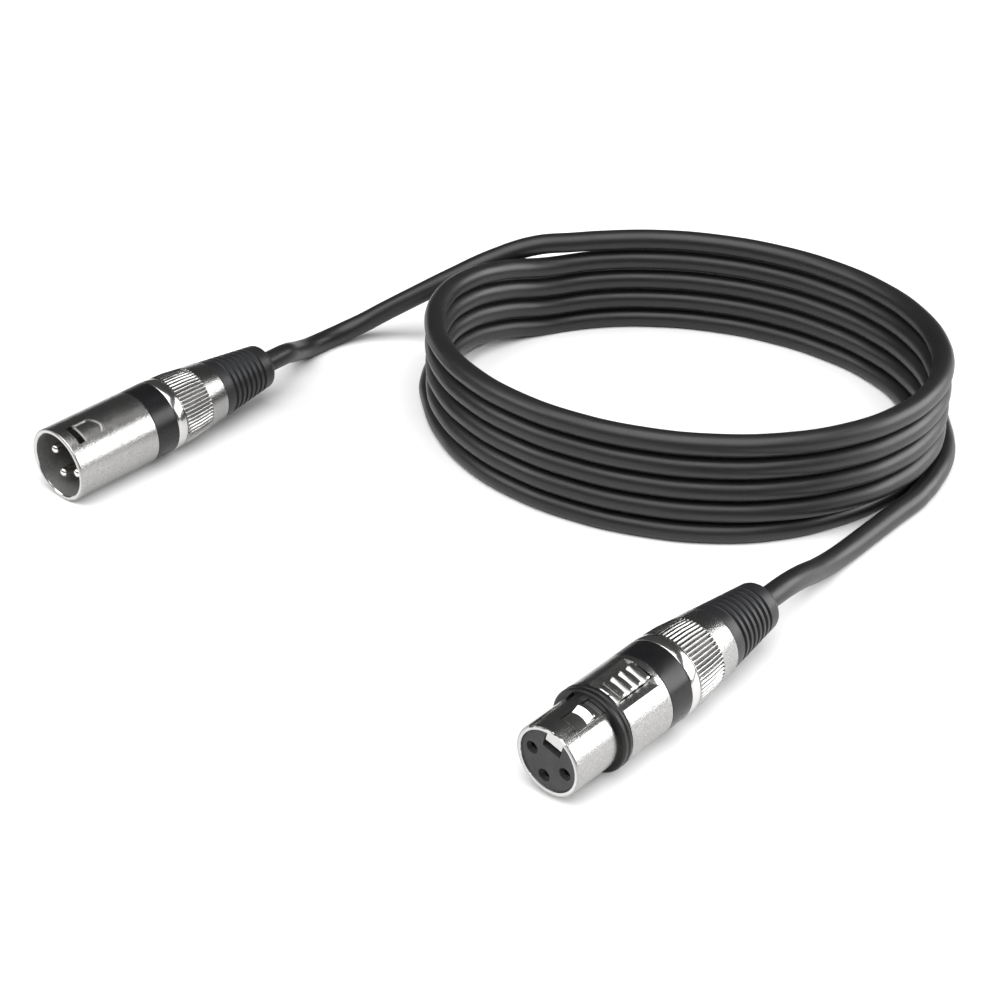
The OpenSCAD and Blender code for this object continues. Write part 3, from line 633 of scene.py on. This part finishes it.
SPRING_WIRE_R, SPRING_R = 0.225, 1.075
SPRING_LOW, SPRING_HIGH, SPRING_Z = 2.2, 6.4, 21.2
SPRING_TURNS, SPRING_STEPS = 5, 24
spring = bmesh.new()
wire_end = bmesh.ops.create_circle(spring, segments=10, radius=SPRING_WIRE_R)["verts"]
bmesh.ops.rotate(spring, cent=(0, 0, 0), matrix=Matrix.Rotation(math.pi / 2, 3, "X"), verts=wire_end)
bmesh.ops.translate(spring, vec=(SPRING_R, 0, 0), verts=wire_end)
climb = (SPRING_HIGH - SPRING_LOW - 2 * SPRING_WIRE_R) / (SPRING_TURNS * SPRING_STEPS)
bmesh.ops.spin(
    spring, geom=spring.verts[:] + spring.edges[:], cent=(0, 0, 0), axis=(0, 0, 1), dvec=(0, 0, climb),
    angle=2 * math.pi * SPRING_TURNS, steps=SPRING_TURNS * SPRING_STEPS,
)
bmesh.ops.holes_fill(spring, edges=spring.edges, sides=0)
bmesh.ops.recalc_face_normals(spring, faces=spring.faces)
bmesh.ops.rotate(spring, cent=(0, 0, 0), matrix=Matrix.Rotation(math.pi / 2, 3, "Y"), verts=spring.verts)
bmesh.ops.translate(spring, vec=(SPRING_LOW + SPRING_WIRE_R, 0, SPRING_Z), verts=spring.verts)
spring = dress(
    spring, "latch_spring", FEMALE_PLACE, "cable", [SPRING_STEEL], ["female_latch_spring"])
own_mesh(spring)


# Cord: one length of shielded microphone cable with a smooth black jacket. It leaves the
# female plug, lies on the floor, winds into the coil from below, and goes down to the male plug.
CORD_D = 5.5
CORD_Z = 2.2
TURN_STEP = 6.0
COIL_LONG, COIL_WIDE = 64.5, 52.5
COIL_FIRST, COIL_LAST = -10, 1925
COIL_STEP = 15
COIL_CENTRE, COIL_TURN = (98, -10), math.radians(-69)
JACKET = grained(
    "cord_jacket", (0.007, 0.007, 0.0073), (0.012, 0.012, 0.0125), (0.36, 0.44),
    scale=1800, clouding=90, contrast=0.35, depth=0.000006, specular=0.45,
)


def clamp_share(share):
    return min(1.0, max(0.0, share))


def ease(share):
    return share * share * (3 - 2 * share)


def climb_angle(turned):
    return math.radians(90 * clamp_share((turned - 140) / 50))


def coil_level(angle):
    """Height of the coil at an angle, in turns: it climbs one step in each pass."""
    passes = max(0, angle // 360)
    return passes - 1 + math.sin(climb_angle(angle - 360 * passes)) if passes else 0


def side_step(angle):
    """The first pass lies outside the second, and comes in under the third."""
    if angle < 205:
        out = TURN_STEP * (0.5 + 0.5 * ease(clamp_share((angle - 15) / 30)))
        return out * math.cos(climb_angle(angle - 15))
    if angle < 375:
        return -TURN_STEP / 2 * ease(clamp_share((angle - 290) / 45))
    return -TURN_STEP / 2 * (1 - ease(clamp_share((angle - 375) / 30)))


def coil_at(angle):
    turned = math.radians(angle)
    x = (COIL_LONG + side_step(angle)) * math.cos(turned)
    y = (COIL_WIDE + side_step(angle)) * math.sin(turned)
    return Vector((
        COIL_CENTRE[0] + x * math.cos(COIL_TURN) - y * math.sin(COIL_TURN),
        COIL_CENTRE[1] + x * math.sin(COIL_TURN) + y * math.cos(COIL_TURN),
        CORD_Z + TURN_STEP * coil_level(angle),
    ))


def coil_heading(angle):
    return (coil_at(angle + 0.5) - coil_at(angle - 0.5)).normalized()


LIFT = 24.0
MALE_Z, FEMALE_Z = 9.5, 9.6
MALE_EXIT = Vector((35.2, 80, 0))
FEMALE_EXIT = Vector((35.4, -80, 0))
male_leave = [(18, CORD_Z + LIFT - 0.2), (30, CORD_Z + LIFT - 3.5)]
male_arrive = [
    (58.5, -14.5, CORD_Z + 0.67 * LIFT), (51, -7, CORD_Z + 0.44 * LIFT), (44.5, 0, CORD_Z + 0.22 * LIFT),
    (40.5, 3.3, CORD_Z + 0.11 * LIFT), (36.5, 5.6, CORD_Z + 0.045 * LIFT), (32, 7, CORD_Z + 0.2),
    (27, 7.4, CORD_Z + 0.1), (22, 6.7, CORD_Z + 0.9), (17.5, 5, MALE_Z - 4.7),
    (13, 2.5, MALE_Z - 2.4), (9, 0.6, MALE_Z - 0.5), (5.5, 0, MALE_Z), (0, 0, MALE_Z),
    (-12, 0, MALE_Z), (-24, 0, MALE_Z), (-33.7, 0, MALE_Z),
]
female_arrive = [
    (60, 3.3, CORD_Z), (48, 3.2, CORD_Z), (36, 2.9, CORD_Z + 0.4), (26, 2, FEMALE_Z - 5),
    (17, 0.9, FEMALE_Z - 2), (9, 0.1, FEMALE_Z - 0.2), (5, 0, FEMALE_Z), (0, 0, FEMALE_Z),
    (-12, 0, FEMALE_Z), (-24, 0, FEMALE_Z), (-33.7, 0, FEMALE_Z),
]
away, coming = coil_heading(COIL_LAST), coil_heading(COIL_FIRST)
last_point = coil_at(COIL_LAST)
cord_route = [FEMALE_EXIT + Vector(step) for step in reversed(female_arrive)]
cord_route += [coil_at(COIL_FIRST) - coming * (CORD_D + 2), coil_at(COIL_FIRST) - coming * CORD_D]
cord_route += [coil_at(angle) for angle in range(COIL_FIRST, COIL_LAST + 1, COIL_STEP)]
cord_route += [last_point + away * CORD_D, last_point + away * (CORD_D + 2)]
cord_route += [Vector((last_point.x + s * away.x, last_point.y + s * away.y, z)) for s, z in male_leave]
cord_route += [MALE_EXIT + Vector(step) for step in male_arrive]
cord_route = [point / 1000 for point in cord_route]
cord = round_cord("cord", cord_route, CORD_D / 2000, JACKET)
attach(cord, "cable")
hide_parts("cord_coil", "cord_male_run", "cord_female_run")


# Floor, lights and camera: a plain white table under soft lamps.
floor_mesh = bmesh.new()
bmesh.ops.create_grid(floor_mesh, x_segments=2, y_segments=2, size=0.65)
floor = as_object(floor_mesh, "floor")
white = bpy.data.materials.new("white_table")
white.use_nodes = True
white.node_tree.nodes["Principled BSDF"].inputs["Base Color"].default_value = (0.86, 0.86, 0.86, 1)
white.node_tree.nodes["Principled BSDF"].inputs["Roughness"].default_value = 0.6
floor.data.materials.append(white)


def lamp(name, place, aim, size, power):
    light = bpy.data.lights.new(name, "AREA")
    light.shape, light.size, light.size_y, light.energy = "RECTANGLE", size[0], size[1], power
    holder = bpy.data.objects.new(name, light)
    bpy.context.scene.collection.objects.link(holder)
    holder.location = place
    holder.rotation_euler = (Vector(aim) - Vector(place)).to_track_quat("-Z", "Y").to_euler()
    holder.visible_camera = False


lamp("overhead", (-0.35, -0.2, 1.3), (0.05, 0.05, 0), (1.6, 1.6), 32)
lamp("right", (0.85, -0.80, 0.48), (0.0, 0, 0), (1.2, 0.75), 19)
lamp("rim", (-0.66, 0.66, 0.72), (0.0, 0, 0), (0.5, 0.5), 5)
world = bpy.data.worlds.new("studio")
world.use_nodes = True
dim_room = world.node_tree.nodes["Background"]
dim_room.inputs["Color"].default_value = (1, 1, 1, 1)
dim_room.inputs["Strength"].default_value = 0.08
white_wall = world.node_tree.nodes.new("ShaderNodeBackground")
white_wall.inputs["Color"].default_value = (1, 1, 1, 1)
seen = world.node_tree.nodes.new("ShaderNodeLightPath")
behind = world.node_tree.nodes.new("ShaderNodeMixShader")
world.node_tree.links.new(seen.outputs["Is Camera Ray"], behind.inputs["Fac"])
world.node_tree.links.new(dim_room.outputs[0], behind.inputs[1])
world.node_tree.links.new(white_wall.outputs[0], behind.inputs[2])
world.node_tree.links.new(behind.outputs[0], world.node_tree.nodes["World Output"].inputs["Surface"])
bpy.context.scene.world = world
bpy.context.scene.view_settings.view_transform = "Standard"

camera = bpy.data.objects.new("camera", bpy.data.cameras.new("camera"))
bpy.context.scene.collection.objects.link(camera)
camera.location = (-0.2721, -0.2806, 0.2723)
camera.rotation_euler = Vector((0.6233, 0.5612, -0.5446)).to_track_quat("-Z", "Y").to_euler()
camera.data.sensor_width = 36
camera.data.lens = 73.8
camera.data.clip_start = 0.01
bpy.context.scene.camera = camera
